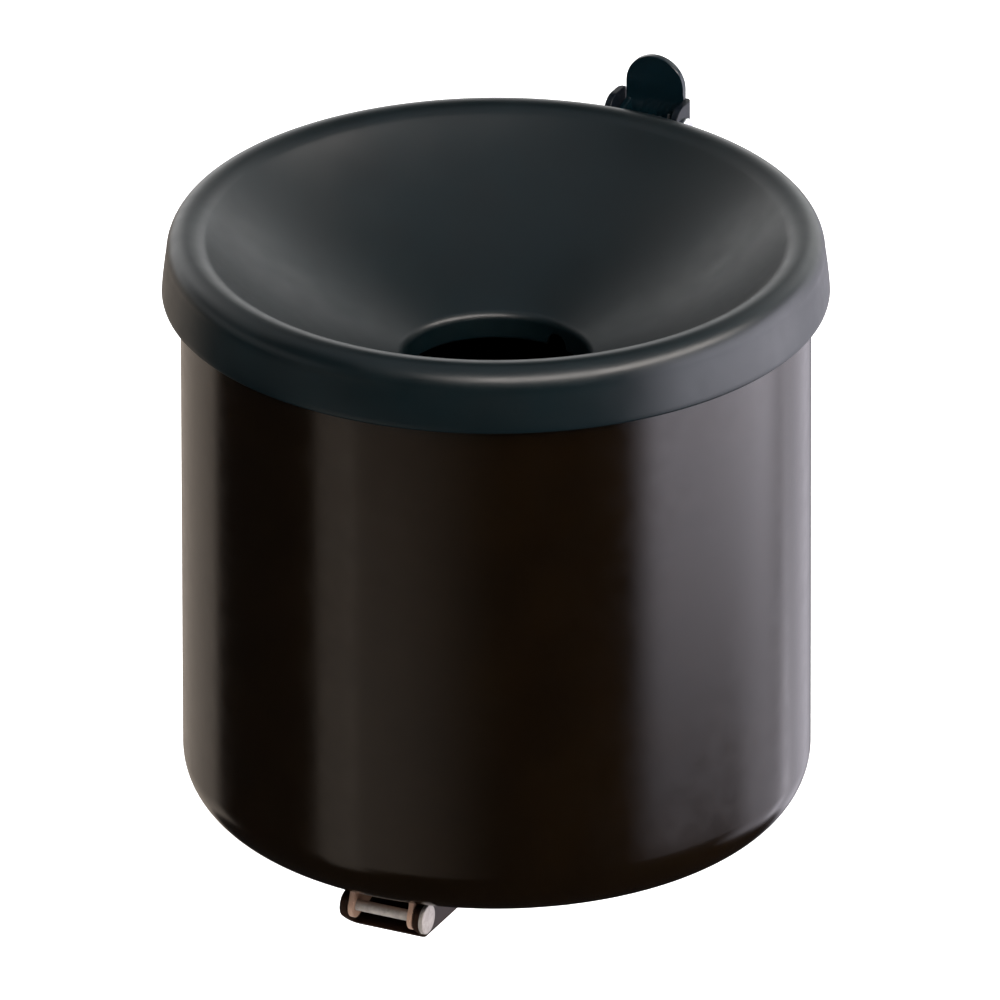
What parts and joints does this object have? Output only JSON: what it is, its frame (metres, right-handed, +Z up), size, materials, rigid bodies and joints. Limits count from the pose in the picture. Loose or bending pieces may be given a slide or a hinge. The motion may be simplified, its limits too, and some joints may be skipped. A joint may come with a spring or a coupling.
{
  "type": "wall ashtray bin",
  "caption": "Wall-mounted round ashtray bin with a lift-off funnel lid, a front hinge that lets it tip forward to empty, and a sprung thumb latch.",
  "frame": {"origin": "centre of the four wall holes, on the wall face of the wall plate", "axes": "+Y into the wall, -Y to the front where the bin tips, +Z up, X along the hinge and latch pins"},
  "size_m": [0.1694, 0.1813, 0.2013],
  "materials": {
    "lid_paint": "fine-textured satin powder coat",
    "body_paint": "semi-gloss powder coat",
    "frame_paint": "semi-gloss powder coat",
    "arm_paint": "semi-gloss powder coat",
    "lever_paint": "gloss paint",
    "brown_paint": "thin satin primer",
    "bare_steel": "drawn bar, lightly scratched",
    "bright_zinc": "bright zinc plate",
    "rivet_steel": "zinc plate",
    "spring_steel": "oiled wire",
    "clip_steel": "strip steel",
    "buffer_rubber": "moulded"
  },
  "bodies": {
    "frame": {"wall_plate": "frame_paint", "latch_bracket": "frame_paint", "latch_bracket_rivets": "rivet_steel", "support_arm": "arm_paint", "arm_rivets": "rivet_steel", "rest_buffer": "buffer_rubber", "back_buffer": "buffer_rubber", "hinge_pin": "bare_steel", "latch_pin": "bright_zinc", "latch_pin_clip": "bright_zinc"},
    "latch": {"latch_lever": "lever_paint", "latch_spring": "spring_steel"},
    "bin": {"body_shell": "body_paint", "rim_wire": "spring_steel", "hinge_bracket": "brown_paint", "hinge_bracket_rivets": "rivet_steel", "striker": "frame_paint", "striker_rivets": "rivet_steel"},
    "lid": {"funnel_lid": "lid_paint", "lid_clips": "clip_steel"}
  },
  "joints": [
    {"name": "bin_tip", "type": "hinge", "parent": "frame", "child": "bin", "pos_m": [0, -0.162, -0.06], "axis": [1, 0, 0], "range_deg": [0, 120]},
    {"name": "lid_lift", "type": "slide", "parent": "bin", "child": "lid", "axis": [0, 0, 1], "range_m": [0, 0.045]},
    {"name": "latch_pull", "type": "hinge", "parent": "frame", "child": "latch", "pos_m": [0, -0.0077, 0.0947], "axis": [1, 0, 0], "range_deg": [0, 14], "stiffness_Nm_per_rad": 0.02, "springref_deg": -28.65, "deforming": ["latch_spring"]}
  ]
}
